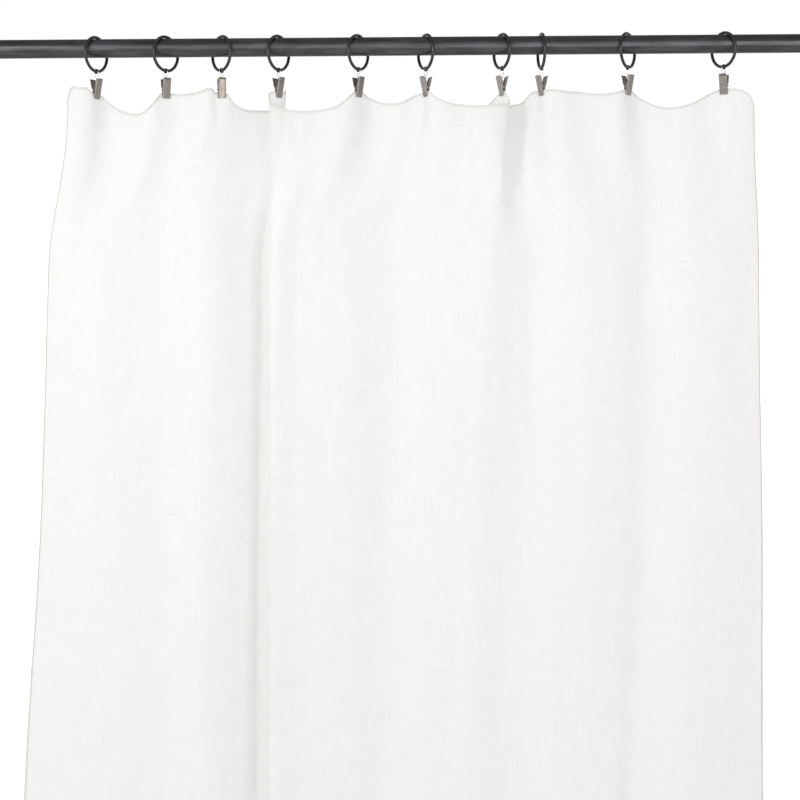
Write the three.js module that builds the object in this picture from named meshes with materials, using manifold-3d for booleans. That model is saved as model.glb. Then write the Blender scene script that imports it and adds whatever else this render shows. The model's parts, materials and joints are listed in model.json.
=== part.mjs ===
// A sheer linen curtain clipped to a steel rod: ten wire rings on the rod, a spring clip under each,
// and a wall bracket at each end. Millimetres, +Z up. The rod runs along X, the wall is the plane Y = 0,
// the room is towards -Y, and Z = 0 is the height of the rod's axis.

import * as THREE from 'three';
import { mergeVertices } from 'three/addons/utils/BufferGeometryUtils.js';
import Module from 'manifold-3d';

const wasm = await Module();
wasm.setup();

// Clearances.
const seat_gap = 0.3;
const layer_gap = 0.3;

// Rod and its end caps.
const rod_diameter = 25.4;
const rod_wall = 1.2;
const rod_length = 1260;
const rod_from_wall = 85;
const cap_diameter = 28;
const cap_thickness = 4;
const cap_plug_length = 18;

// Brackets.
const bracket_inset = 30;
const wall_plate_diameter = 52;
const wall_plate_thickness = 4;
const wall_screw_hole_diameter = 4.6;
const wall_screw_spacing = 36;
const arm_diameter = 10;
const cradle_width = 14;
const cradle_wall = 3;
const cradle_lip = 7;
const lock_screw_diameter = 4;
const lock_screw_head_diameter = 9;
const lock_screw_head_length = 6;

// Rings: round wire with a drilled boss at the bottom for the clip's bail.
const ring_inner_diameter = 42;
const ring_wire = 4.2;
const eye_boss_diameter = 6.8;
const eye_boss_width = 3.4;
const eye_hole_diameter = 2.8;

// Bails: a closed loop of thin wire from the ring's eye to the clip's hinge pin.
const bail_wire = 1.2;
const bail_throat = 1.6;
const eye_to_hinge = 26.1;

// Clips: two stamped jaws on one pin, tips together and tops apart.
const jaw_width = 11;
const jaw_sheet = 0.8;
const jaw_above_hinge = 15.5;
const jaw_below_hinge = 11.6;
const jaw_half_angle = THREE.MathUtils.degToRad(12.5);
const front_flange_depth = 2.6;
const back_flange_depth = 1;
const ear_radius = 2;
const ear_foot = 0.6;
const pin_diameter = 1.6;
const pin_head_diameter = 3;
const pin_head_length = 0.6;

// Curtain panel.
const cloth_thickness = 1;
const panel_drop = 2134;
const cloth_under_bail = 0.6;
const left_overhang = 40;
const right_overhang = 40;
const left_flare = 80;
const right_flare = 22;
const held_half_width = 6;
const straight_below_tips = 34;
const span_steps = 6;
const drop_steps = 6;

// The ten hanging sets from left to right: place along the rod, turn of the ring, turn of its clip,
// depth of the scallop to the next clip, and how full the cloth is gathered over that span.
const sets = [
  { place: -415, ring_turn: 30, clip_turn: 55, scallop: 30, fullness: 2.3 },
  { place: -320, ring_turn: 38, clip_turn: 25, scallop: 3, fullness: 2.2 },
  { place: -244, ring_turn: -37, clip_turn: 12, scallop: 26, fullness: 3 },
  { place: -166, ring_turn: 34, clip_turn: 50, scallop: 26, fullness: 2.8 },
  { place: -57, ring_turn: 34, clip_turn: 45, scallop: 17, fullness: 2.7 },
  { place: 35, ring_turn: -25, clip_turn: -66, scallop: 21, fullness: 3 },
  { place: 139, ring_turn: -25, clip_turn: -70, scallop: 21, fullness: 3.2 },
  { place: 193, ring_turn: -8, clip_turn: -66, scallop: 7, fullness: 1.8 },
  { place: 311, ring_turn: 31, clip_turn: 45, scallop: 25, fullness: 2.3 },
  { place: 442, ring_turn: -34, clip_turn: -25 },
];

// Worked out from the values above.
const rod_radius = rod_diameter / 2;
const ring_radius = (ring_inner_diameter + ring_wire) / 2;
const pin_radius = pin_diameter / 2;
const bail_loop_radius = pin_radius + seat_gap + bail_wire / 2 + 0.2;
const tip_half_gap = cloth_thickness / 2 + layer_gap;
const hinge_half_gap = tip_half_gap + jaw_below_hinge * Math.tan(jaw_half_angle);
const ear_hole_radius = pin_radius + seat_gap;
const front_ear_outside = jaw_width / 2;
const back_ear_outside = front_ear_outside - jaw_sheet - layer_gap;
const cloth_under_hinge = bail_loop_radius + bail_wire / 2 + cloth_under_bail;
const bracket_place = rod_length / 2 - bracket_inset;

// How far below the rod's axis a ring's centre hangs. A ring turned well aside bears on the rod at two
// points beside the crown, and hangs from there.
function ringDrop(ring_turn) {
  const apart = rod_radius + ring_wire / 2 + seat_gap;
  const turn = THREE.MathUtils.degToRad(Math.abs(ring_turn));
  const room = ring_radius ** 2 - (apart / Math.cos(turn)) ** 2;
  const beside = Math.sin(turn) * Math.sqrt(Math.max(room, 0));
  const bears_beside = beside < ring_radius * Math.sin(turn) ** 2;
  return bears_beside ? beside : ring_radius - apart;
}

const ring_drops = sets.map(({ ring_turn }) => ringDrop(ring_turn));
const hinge_heights = ring_drops.map((drop) => -drop - ring_radius - eye_to_hinge);
const lowest_hinge = Math.min(...hinge_heights);
const hem_z = lowest_hinge - cloth_under_hinge - panel_drop;
const flare_start_z = lowest_hinge - jaw_below_hinge - straight_below_tips;

const blackened_steel = { color: 0x3a3b3e, roughness: 0.42, metalness: 0.9 };
const black_wire = { color: 0x141415, roughness: 0.35, metalness: 0.7 };
const brushed_nickel = { color: 0x9d9a92, roughness: 0.38, metalness: 1 };
const bright_wire = { color: 0xb9b9b6, roughness: 0.25, metalness: 1 };
const white_linen = { color: 0xf4f3ee, roughness: 0.95, metalness: 0 };

const curtain_on_rod = new THREE.Group();

function addPiece(parent, name, geometry, finish) {
  const piece = new THREE.Mesh(geometry, new THREE.MeshStandardMaterial(finish));
  piece.name = name;
  parent.add(piece);
  return piece;
}

// A three.js geometry as a solid that can be joined and cut.
function toSolid(geometry) {
  const bare = geometry.clone();
  bare.deleteAttribute('normal');
  bare.deleteAttribute('uv');
  const merged = mergeVertices(bare, 0.0001);
  return new wasm.Manifold(new wasm.Mesh({
    numProp: 3,
    vertProperties: new Float32Array(merged.attributes.position.array),
    triVerts: new Uint32Array(merged.index.array),
  }));
}

function toGeometry(solid) {
  const mesh = solid.getMesh();
  const geometry = new THREE.BufferGeometry();
  geometry.setAttribute('position', new THREE.BufferAttribute(mesh.vertProperties, 3));
  geometry.setIndex(new THREE.BufferAttribute(mesh.triVerts, 1));
  return geometry;
}

// A round bar along X from its start to its end.
function barAlongX(radius, start, end, sides) {
  const bar = new THREE.CylinderGeometry(radius, radius, end - start, sides);
  bar.rotateZ(-Math.PI / 2);
  return bar.translate((start + end) / 2, 0, 0);
}

// A turned shape about X from points of [radius, place along X].
function turnedAlongX(outline, sides) {
  const points = outline.map(([radius, along]) => new THREE.Vector2(radius, along));
  const turned = new THREE.LatheGeometry(points, sides);
  return turned.rotateZ(-Math.PI / 2);
}

function addRod() {
  const inner = rod_radius - rod_wall;
  const half = rod_length / 2;
  const tube = turnedAlongX(
    [[inner, -half], [rod_radius, -half], [rod_radius, half], [inner, half], [inner, -half]], 32);
  addPiece(curtain_on_rod, 'rod', tube, blackened_steel).position.y = -rod_from_wall;

  const plug_radius = inner - seat_gap;
  const disc_start = half + seat_gap;
  const cap = [
    [0, half - cap_plug_length],
    [plug_radius, half - cap_plug_length],
    [plug_radius, disc_start],
    [cap_diameter / 2, disc_start],
    [cap_diameter / 2, disc_start + cap_thickness - 1],
    [cap_diameter / 2 - 1, disc_start + cap_thickness],
    [0, disc_start + cap_thickness],
  ];
  for (const [name, turn] of [['right_end_cap', 0], ['left_end_cap', Math.PI]]) {
    const piece = addPiece(curtain_on_rod, name, turnedAlongX(cap, 16), blackened_steel);
    piece.position.y = -rod_from_wall;
    piece.rotation.z = turn;
  }
}

// The cradle is an open-topped U across the rod, on a round arm that stands out of the wall plate.
function armGeometry() {
  const inside = rod_radius + seat_gap;
  const outside = inside + cradle_wall;
  const outline = new THREE.Shape();
  outline.moveTo(-outside, cradle_lip);
  outline.lineTo(-outside, 0);
  outline.absarc(0, 0, outside, Math.PI, 2 * Math.PI, false);
  outline.lineTo(outside, cradle_lip);
  outline.lineTo(inside, cradle_lip);
  outline.lineTo(inside, 0);
  outline.absarc(0, 0, inside, 2 * Math.PI, Math.PI, true);
  outline.lineTo(-inside, cradle_lip);
  outline.closePath();
  const depth = cradle_width;
  const cradle = new THREE.ExtrudeGeometry(outline, { depth, bevelEnabled: false, curveSegments: 12 });
  cradle.translate(0, 0, -cradle_width / 2).rotateX(Math.PI / 2).rotateZ(Math.PI / 2);

  const arm_end = rod_from_wall - wall_plate_thickness - seat_gap;
  const arm_start = inside + cradle_wall / 2;
  const arm = new THREE.CylinderGeometry(arm_diameter / 2, arm_diameter / 2, arm_end - arm_start, 20);
  arm.translate(0, (arm_start + arm_end) / 2, 0);

  const screw_hole_radius = lock_screw_diameter / 2 + seat_gap;
  const screw_hole = new THREE.CylinderGeometry(screw_hole_radius, screw_hole_radius, 3 * cradle_wall, 16);
  screw_hole.translate(0, -outside, 0);
  return toGeometry(toSolid(cradle).add(toSolid(arm)).subtract(toSolid(screw_hole)));
}

// A round plate with a hole for a wall screw above the arm and one below it.
function wallPlateGeometry() {
  const plate = new THREE.CylinderGeometry(
    wall_plate_diameter / 2, wall_plate_diameter / 2 - 1, wall_plate_thickness, 28);
  let drilled = toSolid(plate);
  for (const height of [-wall_screw_spacing / 2, wall_screw_spacing / 2]) {
    const hole = new THREE.CylinderGeometry(
      wall_screw_hole_diameter / 2, wall_screw_hole_diameter / 2, 2 * wall_plate_thickness, 12);
    drilled = drilled.subtract(toSolid(hole.translate(0, 0, height)));
  }
  return toGeometry(drilled).translate(0, rod_from_wall - wall_plate_thickness / 2, 0);
}

function lockScrewGeometry() {
  const tip = rod_radius + seat_gap;
  const seat = rod_radius + seat_gap + cradle_wall + seat_gap;
  const knob_end = seat + lock_screw_head_length;
  const head = lock_screw_head_diameter / 2;
  const outline = [
    [0, -knob_end],
    [head - 1, -knob_end],
    [head, -knob_end + 1],
    [head, -seat - 1],
    [head - 1, -seat],
    [lock_screw_diameter / 2, -seat],
    [lock_screw_diameter / 2, -tip],
    [0, -tip],
  ];
  return new THREE.LatheGeometry(outline.map(([radius, along]) => new THREE.Vector2(radius, along)), 16);
}

function addBrackets() {
  for (const [side, place] of [['left', -bracket_place], ['right', bracket_place]]) {
    const bracket = new THREE.Group();
    bracket.position.set(place, -rod_from_wall, 0);
    curtain_on_rod.add(bracket);
    addPiece(bracket, `${side}_wall_plate`, wallPlateGeometry(), blackened_steel);
    addPiece(bracket, `${side}_bracket_arm`, armGeometry(), blackened_steel);
    addPiece(bracket, `${side}_lock_screw`, lockScrewGeometry(), blackened_steel);
  }
}

// The ring stands across X; its drilled boss is at the bottom, with the hole along X.
function ringGeometry() {
  const wire = new THREE.TorusGeometry(ring_radius, ring_wire / 2, 6, 24);
  wire.rotateY(Math.PI / 2);
  const boss = barAlongX(eye_boss_diameter / 2, -eye_boss_width / 2, eye_boss_width / 2, 12);
  boss.translate(0, 0, -ring_radius);
  const hole = barAlongX(eye_hole_diameter / 2, -ring_wire, ring_wire, 8);
  hole.translate(0, 0, -ring_radius);
  return toGeometry(toSolid(wire).add(toSolid(boss)).subtract(toSolid(hole)));
}

// One closed loop: through the ring's eye, down two legs that close to a narrow throat between the jaws,
// and round the hinge pin. It turns on the way down from the ring's direction to the clip's. Z = 0 is the
// middle of the eye.
function bailGeometry(ring_turn, clip_turn) {
  const eye_angle = -ring_turn;
  const hinge_angle = clip_turn - 90;
  const twist = THREE.MathUtils.euclideanModulo(hinge_angle - eye_angle + 90, 180) - 90;
  const eye_drop = eye_hole_diameter / 2 - bail_wire / 2 - seat_gap;
  const shoulder = Math.max(eye_boss_width, ring_wire) / 2 + bail_wire / 2 + seat_gap;
  const under_boss = eye_boss_diameter / 2 + bail_wire;
  const clip_top = eye_to_hinge - jaw_above_hinge;
  const leg = [
    [shoulder * 0.5, eye_drop],
    [shoulder * 0.95, eye_drop + 0.5],
    [shoulder, eye_drop + 1.8],
    [shoulder, under_boss],
    [bail_throat, clip_top - 2],
    [bail_throat / 2, clip_top + 2],
    [bail_throat / 2, eye_to_hinge - 5.5],
    [bail_loop_radius * 0.9, eye_to_hinge - 1.8],
    [bail_loop_radius, eye_to_hinge],
    [bail_loop_radius * 0.71, eye_to_hinge + bail_loop_radius * 0.71],
  ];
  const at = (across, down, side) => {
    const share = THREE.MathUtils.smoothstep(down, under_boss, eye_to_hinge - 3);
    const angle = THREE.MathUtils.degToRad(eye_angle + twist * share);
    return new THREE.Vector3(side * across * Math.cos(angle), side * across * Math.sin(angle), -down);
  };
  const points = leg.map(([across, down]) => at(across, down, 1));
  points.push(at(0, eye_to_hinge + bail_loop_radius, 1));
  points.push(...leg.map(([across, down]) => at(across, down, -1)).reverse());
  points.push(at(0, eye_drop, 1));
  const route = new THREE.CatmullRomCurve3(points, true, 'centripetal');
  return new THREE.TubeGeometry(route, 32, bail_wire / 2, 5, true);
}

// A jaw's inner face, as its distance from the clip's middle at a height above the hinge, and the
// thickness of its sloping sheet measured level.
const inner = (up) => hinge_half_gap + up * Math.tan(jaw_half_angle);
const sheet = jaw_sheet / Math.cos(jaw_half_angle);

// A side view of a jaw, as [away from the clip's middle, up] from the hinge: sheet, flange and ear.
function jawSide(flange_depth) {
  const side = new THREE.Shape();
  side.moveTo(inner(-jaw_below_hinge) + sheet, -jaw_below_hinge);
  side.lineTo(inner(jaw_above_hinge) + sheet, jaw_above_hinge);
  side.lineTo(inner(jaw_above_hinge) - flange_depth + 0.6, jaw_above_hinge);
  side.lineTo(inner(jaw_above_hinge - 2) - flange_depth, jaw_above_hinge - 2);
  side.lineTo(inner(ear_radius * 2) - flange_depth, ear_radius * 2);
  side.lineTo(0, ear_radius);
  side.absarc(0, 0, ear_radius, Math.PI / 2, 1.5 * Math.PI, false);
  side.lineTo(inner(-ear_radius - ear_foot) - flange_depth / 2, -ear_radius - ear_foot);
  side.lineTo(inner(-jaw_below_hinge), -jaw_below_hinge);
  side.closePath();
  const hole = new THREE.Path();
  hole.absarc(0, 0, ear_hole_radius, 0, 2 * Math.PI, true);
  side.holes.push(hole);
  return side;
}

// The flat of the jaw without its ears and flanges.
function jawPlate() {
  const side = new THREE.Shape();
  side.moveTo(inner(-jaw_below_hinge), -jaw_below_hinge);
  side.lineTo(inner(-jaw_below_hinge) + sheet, -jaw_below_hinge);
  side.lineTo(inner(jaw_above_hinge) + sheet, jaw_above_hinge);
  side.lineTo(inner(jaw_above_hinge), jaw_above_hinge);
  side.closePath();
  return side;
}

// A jaw facing +Y before it is turned: its plate, and one ear with a flange at each side.
function jawGeometry(flange_depth, ear_outside) {
  const across = (shape, from, to) => {
    const depth = to - from;
    const slab = new THREE.ExtrudeGeometry(shape, { depth, bevelEnabled: false, curveSegments: 4 });
    slab.translate(0, 0, from);
    slab.applyMatrix4(new THREE.Matrix4().makeBasis(
      new THREE.Vector3(0, 1, 0), new THREE.Vector3(0, 0, 1), new THREE.Vector3(1, 0, 0)));
    return toSolid(slab);
  };
  const plate = across(jawPlate(), -jaw_width / 2, jaw_width / 2);
  const right = across(jawSide(flange_depth), ear_outside - jaw_sheet, ear_outside);
  const left = across(jawSide(flange_depth), -ear_outside, -ear_outside + jaw_sheet);
  return toGeometry(plate.add(right).add(left));
}

function pinGeometry() {
  const half = front_ear_outside + layer_gap;
  return turnedAlongX([
    [0, -half - pin_head_length],
    [pin_head_diameter / 2, -half - pin_head_length],
    [pin_head_diameter / 2, -half],
    [pin_radius, -half],
    [pin_radius, half],
    [pin_head_diameter / 2, half],
    [pin_head_diameter / 2, half + pin_head_length],
    [0, half + pin_head_length],
  ], 8);
}

function addHangingSets() {
  sets.forEach(({ place, ring_turn, clip_turn }, index) => {
    const number = String(index + 1).padStart(2, '0');
    const set = new THREE.Group();
    set.position.set(place, -rod_from_wall, 0);
    curtain_on_rod.add(set);

    const ring = addPiece(set, `ring_${number}`, ringGeometry(), black_wire);
    ring.position.z = -ring_drops[index];
    ring.rotation.z = THREE.MathUtils.degToRad(-ring_turn);
    const bail = addPiece(set, `bail_${number}`, bailGeometry(ring_turn, clip_turn), bright_wire);
    bail.position.z = -ring_drops[index] - ring_radius;

    const clip = new THREE.Group();
    clip.position.z = hinge_heights[index];
    clip.rotation.z = THREE.MathUtils.degToRad(clip_turn);
    set.add(clip);
    addPiece(clip, `back_jaw_${number}`, jawGeometry(back_flange_depth, back_ear_outside), brushed_nickel);
    addPiece(clip, `hinge_pin_${number}`, pinGeometry(), brushed_nickel);
    const front = addPiece(
      clip, `front_jaw_${number}`, jawGeometry(front_flange_depth, front_ear_outside), brushed_nickel);
    front.rotation.z = Math.PI;
  });
}

// The cloth's line seen from above: straight through each clip, and a soft wave between clips.
// Each entry is {x, y, top}, where top is the height of the top edge.
function clothLine() {
  const line = [];
  const along = (turn) => {
    const angle = THREE.MathUtils.degToRad(turn);
    return new THREE.Vector2(Math.cos(angle), Math.sin(angle));
  };
  const first = sets[0];
  const last = sets[sets.length - 1];
  const addWave = (from, to, { fullness, scallop }) => {
    const pull = fullness * from.after.distanceTo(to.before);
    for (let step = 1; step < span_steps; step += 1) {
      const t = step / span_steps;
      const point = from.after.clone().multiplyScalar((1 + 2 * t) * (1 - t) ** 2);
      point.addScaledVector(from.direction, pull * t * (1 - t) ** 2);
      point.addScaledVector(to.before, t * t * (3 - 2 * t));
      point.addScaledVector(to.direction, -pull * t * t * (1 - t));
      const dip = scallop * Math.sin(Math.PI * t) ** 1.3;
      line.push({ x: point.x, y: point.y, top: THREE.MathUtils.lerp(from.top, to.top, t) - dip });
    }
  };
  const held = sets.map(({ place, clip_turn }, index) => {
    const direction = along(clip_turn);
    const middle = new THREE.Vector2(place, 0);
    return {
      direction,
      top: hinge_heights[index] - cloth_under_hinge,
      before: middle.clone().addScaledVector(direction, -held_half_width),
      after: middle.clone().addScaledVector(direction, held_half_width),
    };
  });
  const left_top = held[0].top;
  const right_top = held[held.length - 1].top;
  line.push({ x: first.place - left_overhang, y: -14, top: left_top - 4 });
  line.push({ x: first.place - left_overhang * 0.55, y: -19, top: left_top - 1 });
  held.forEach((clip, index) => {
    line.push({ x: clip.before.x, y: clip.before.y, top: clip.top });
    line.push({ x: clip.after.x, y: clip.after.y, top: clip.top });
    if (index < held.length - 1) {
      addWave(clip, held[index + 1], sets[index]);
    }
  });
  line.push({ x: last.place + right_overhang * 0.55, y: -9, top: right_top - 2 });
  line.push({ x: last.place + right_overhang, y: -2, top: right_top - 6 });
  return line;
}

// The panel: a thin sheet that follows the cloth's line, with a scalloped top edge and a level hem.
function addCurtain() {
  const line = clothLine();
  const columns = line.length - 1;
  const sheet = new THREE.BoxGeometry(1, 1, 1, columns, 1, drop_steps);
  const spots = sheet.attributes.position;
  const half = cloth_thickness / 2;
  for (let index = 0; index < spots.count; index += 1) {
    const column = Math.round((spots.getX(index) + 0.5) * columns);
    const face = Math.sign(spots.getY(index));
    const fall = 0.5 - spots.getZ(index);
    const { x, y, top } = line[column];
    const before = line[Math.max(column - 1, 0)];
    const after = line[Math.min(column + 1, columns)];
    const run = new THREE.Vector2(after.x - before.x, after.y - before.y).normalize();
    const below = Math.max(fall * drop_steps - 1, 0) / (drop_steps - 1);
    const flare = THREE.MathUtils.lerp(-left_flare, right_flare, column / columns) * below ** 0.7;
    spots.setXYZ(
      index,
      x + flare - run.y * face * half,
      y + run.x * face * half,
      fall === 0 ? top : THREE.MathUtils.lerp(flare_start_z, hem_z, below ** 1.4));
  }
  addPiece(curtain_on_rod, 'curtain', sheet, white_linen).position.y = -rod_from_wall;
}

addRod();
addBrackets();
addHangingSets();
addCurtain();

export default curtain_on_rod;
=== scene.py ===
# A sheer linen curtain hung from a steel rod by clip rings, in metres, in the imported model's frame: X along the
# rod, +Y into the wall, Z up from the rod's axis.
import json
import math

import bpy
import numpy as np
from mathutils import Matrix, Vector


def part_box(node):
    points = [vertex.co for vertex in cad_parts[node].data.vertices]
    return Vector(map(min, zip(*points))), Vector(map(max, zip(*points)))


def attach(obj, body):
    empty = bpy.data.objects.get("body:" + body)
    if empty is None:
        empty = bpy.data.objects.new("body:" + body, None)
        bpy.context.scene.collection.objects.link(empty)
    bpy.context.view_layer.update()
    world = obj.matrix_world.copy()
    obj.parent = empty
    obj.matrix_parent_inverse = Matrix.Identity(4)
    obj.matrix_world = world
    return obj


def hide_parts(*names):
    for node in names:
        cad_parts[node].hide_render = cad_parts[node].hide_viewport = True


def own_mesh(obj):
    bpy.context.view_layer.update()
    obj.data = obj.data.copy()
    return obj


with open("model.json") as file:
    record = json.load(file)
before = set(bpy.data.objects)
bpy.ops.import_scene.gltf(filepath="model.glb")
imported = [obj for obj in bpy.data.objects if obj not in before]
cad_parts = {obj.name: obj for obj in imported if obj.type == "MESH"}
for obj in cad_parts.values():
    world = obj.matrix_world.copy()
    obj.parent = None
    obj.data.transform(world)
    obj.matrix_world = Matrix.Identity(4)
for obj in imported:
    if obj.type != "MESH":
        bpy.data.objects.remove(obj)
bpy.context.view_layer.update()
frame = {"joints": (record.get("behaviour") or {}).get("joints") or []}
mm = 0.001
joints = {joint["name"]: joint for joint in frame["joints"]}

# ---- Rod ------------------------------------------------------------------------------------------------------
# One inch drawn steel tube, left with its dark mill scale and a rubbed wax finish. The drawing die leaves long
# streaks, and the scale is mottled, with a little brown where it has been handled.
rod_low, rod_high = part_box("rod")
rod_radius = (rod_high.z - rod_low.z) / 2
rod_centre = (rod_low + rod_high) / 2
rod_half_length = (rod_high.x - rod_low.x) / 2
rod_wall = 1.2 * mm


def add_piece(name, points, faces, material, smooth=True):
    mesh = bpy.data.meshes.new(name)
    mesh.from_pydata([tuple(point) for point in points], [], [tuple(face) for face in faces])
    mesh.materials.append(material)
    mesh.validate()
    mesh.polygons.foreach_set("use_smooth", [smooth] * len(mesh.polygons))
    piece = bpy.data.objects.new(name, mesh)
    bpy.context.scene.collection.objects.link(piece)
    return piece


def grid_faces(rows, columns, rows_close=False, columns_close=False):
    """Four-sided faces of a grid of points, numbered row by row."""
    row = np.arange(rows if rows_close else rows - 1)[:, None]
    column = np.arange(columns if columns_close else columns - 1)[None, :]
    next_row, next_column = (row + 1) % rows, (column + 1) % columns
    corners = [row * columns + column, row * columns + next_column,
               next_row * columns + next_column, next_row * columns + column]
    return np.stack(corners, axis=-1).reshape(-1, 4)


def turned(outline, sides=48, ripple=None):
    """A shape turned about X from (radius, place along X). Ends on the axis close themselves; ripple changes
    the radius by angle and place."""
    outline = np.array(outline, float)
    angle = np.linspace(0, 2 * math.pi, sides, endpoint=False)
    radius = outline[:, :1] * np.ones((1, sides))
    if ripple is not None:
        radius = radius + ripple(outline[:, 1:], angle[None, :]) * (outline[:, :1] > 0)
    points = np.stack([outline[:, 1:] + 0 * angle, radius * np.cos(angle), radius * np.sin(angle)], axis=-1)
    closed = np.allclose(outline[0], outline[-1])
    if closed:
        points = points[:-1]
    faces = grid_faces(len(points), sides, rows_close=closed, columns_close=True)
    return points.reshape(-1, 3), faces


def node_finish(name, color, roughness, metallic):
    """A new material with its shader, and short calls to add and join nodes."""
    material = bpy.data.materials.new(name)
    material.use_nodes = True
    nodes, links = material.node_tree.nodes, material.node_tree.links
    shader = nodes["Principled BSDF"]
    shader.inputs["Base Color"].default_value = (*color, 1)
    shader.inputs["Roughness"].default_value = roughness
    shader.inputs["Metallic"].default_value = metallic

    def add(kind, inputs=None, **settings):
        node = nodes.new(kind)
        for key, value in settings.items():
            setattr(node, key, value)
        for key, value in (inputs or {}).items():
            if isinstance(value, bpy.types.NodeSocket):
                links.new(value, node.inputs[key])
            else:
                node.inputs[key].default_value = value
        return node

    return material, shader, add, links


def stretched_noise(add, place, stretch, scale, detail=4.0):
    scaled = add("ShaderNodeMapping", {"Vector": place, "Scale": stretch})
    return add("ShaderNodeTexNoise", {"Vector": scaled.outputs["Vector"], "Scale": scale, "Detail": detail})


def color_between(add, factor, low, high, dark, light):
    """A colour that goes from dark to light as factor goes from low to high."""
    ramp = add("ShaderNodeValToRGB", {"Fac": factor})
    ramp.color_ramp.elements[0].position, ramp.color_ramp.elements[0].color = low, (*dark, 1)
    ramp.color_ramp.elements[1].position, ramp.color_ramp.elements[1].color = high, (*light, 1)
    return ramp.outputs["Color"]


def mill_scale_steel():
    material, shader, add, links = node_finish("mill_scale_steel", (0.05, 0.052, 0.057), 0.42, 0.85)
    place = add("ShaderNodeTexCoord").outputs["Object"]
    streaks = stretched_noise(add, place, (6, 260, 260), 3.0)
    mottle = stretched_noise(add, place, (24, 110, 110), 1.0, 6.0)
    handled = stretched_noise(add, place, (9, 30, 30), 1.0, 3.0)
    steel = color_between(add, streaks.outputs["Fac"], 0.3, 0.7, (0.068, 0.069, 0.073), (0.122, 0.124, 0.13))
    scale = color_between(add, mottle.outputs["Fac"], 0.4, 0.66, (0.72, 0.72, 0.72), (1.2, 1.2, 1.22))
    mixed = add("ShaderNodeMix", data_type="RGBA", blend_type="MULTIPLY")
    mixed.inputs["Factor"].default_value = 0.75
    links.new(steel, mixed.inputs["A"])
    links.new(scale, mixed.inputs["B"])
    brown = add("ShaderNodeMix", data_type="RGBA")
    links.new(mixed.outputs["Result"], brown.inputs["A"])
    brown.inputs["B"].default_value = (0.11, 0.085, 0.07, 1)
    amount = add("ShaderNodeMapRange", {"Value": handled.outputs["Fac"], "From Min": 0.56, "From Max": 0.8,
                                        "To Max": 0.35})
    links.new(amount.outputs["Result"], brown.inputs["Factor"])
    links.new(brown.outputs["Result"], shader.inputs["Base Color"])
    rough = add("ShaderNodeMapRange", {"Value": mottle.outputs["Fac"], "To Min": 0.27, "To Max": 0.38})
    links.new(rough.outputs["Result"], shader.inputs["Roughness"])
    grain = add("ShaderNodeBump", {"Height": streaks.outputs["Fac"], "Strength": 0.12, "Distance": 0.0004})
    pits = add("ShaderNodeBump", {"Height": mottle.outputs["Fac"], "Strength": 0.15, "Distance": 0.0006,
                                  "Normal": grain.outputs["Normal"]})
    links.new(pits.outputs["Normal"], shader.inputs["Normal"])
    return material


steel = mill_scale_steel()
chamfer = 0.4 * mm
inside = rod_radius - rod_wall
rod_outline = [
    (inside, -rod_half_length), (rod_radius - chamfer, -rod_half_length), (rod_radius, -rod_half_length + chamfer),
    *[(rod_radius, x) for x in np.linspace(-rod_half_length + 2 * chamfer, rod_half_length - 2 * chamfer, 60)],
    (rod_radius, rod_half_length - chamfer), (rod_radius - chamfer, rod_half_length), (inside, rod_half_length),
    (inside, -rod_half_length)]
points, faces = turned(rod_outline, sides=96)
rod_tube = add_piece("rod_tube", points + np.array(rod_centre), faces, steel)
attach(rod_tube, "fixed_rod")
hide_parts("rod")

# ---- End caps -------------------------------------------------------------------------------------------------
# A turned steel plug at each end of the tube, with a domed disc a little wider than the rod. It is pushed in and
# finished like the rod.
cap_disc = 4 * mm
for side, facing in (("left", -1), ("right", 1)):
    low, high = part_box(f"{side}_end_cap")
    cap_radius = (high.z - low.z) / 2
    plug_radius = inside - 0.3 * mm
    length = high.x - low.x
    dome = [(cap_radius * math.cos(a), length - cap_disc * 0.55 + cap_disc * 0.55 * math.sin(a))
            for a in np.linspace(0, math.pi / 2, 8)]
    outline = [(0, 0), (plug_radius - 1 * mm, 0), (plug_radius, 1 * mm), (plug_radius, length - cap_disc),
               (cap_radius - 0.5 * mm, length - cap_disc), (cap_radius, length - cap_disc * 0.85), *dome]
    points, faces = turned(outline, sides=64)
    points = points * np.array([facing, 1, 1])
    if facing < 0:
        faces = faces[:, ::-1]
    start = high.x if facing < 0 else low.x
    cap = add_piece(f"{side}_domed_cap", points + np.array([start, rod_centre.y, rod_centre.z]), faces, steel)
    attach(cap, "fixed_rod")
    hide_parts(f"{side}_end_cap")

# ---- Brackets -------------------------------------------------------------------------------------------------
# A round plate that lies on the wall, a bar welded to it, and an open cradle of bent strip that the rod lies in,
# all in the rod's dark steel.
cradle_wall = 3 * mm
cradle_lip = 7 * mm
cradle_play = 0.3 * mm
plate_edge = 1.5 * mm
arm_radius = 5 * mm
weld_size = 1.6 * mm


def joined(parts):
    """Several (points, faces) as one."""
    points, faces, count = [], [], 0
    for part_points, part_faces in parts:
        points.append(np.asarray(part_points))
        faces.extend((np.asarray(face) + count).tolist() for face in part_faces)
        count += len(part_points)
    return np.concatenate(points), faces


def along_y(shape):
    """A shape turned about X, turned to stand along +Y instead."""
    points, faces = shape
    return np.stack([-points[:, 1], points[:, 0], points[:, 2]], axis=-1), faces


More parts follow.
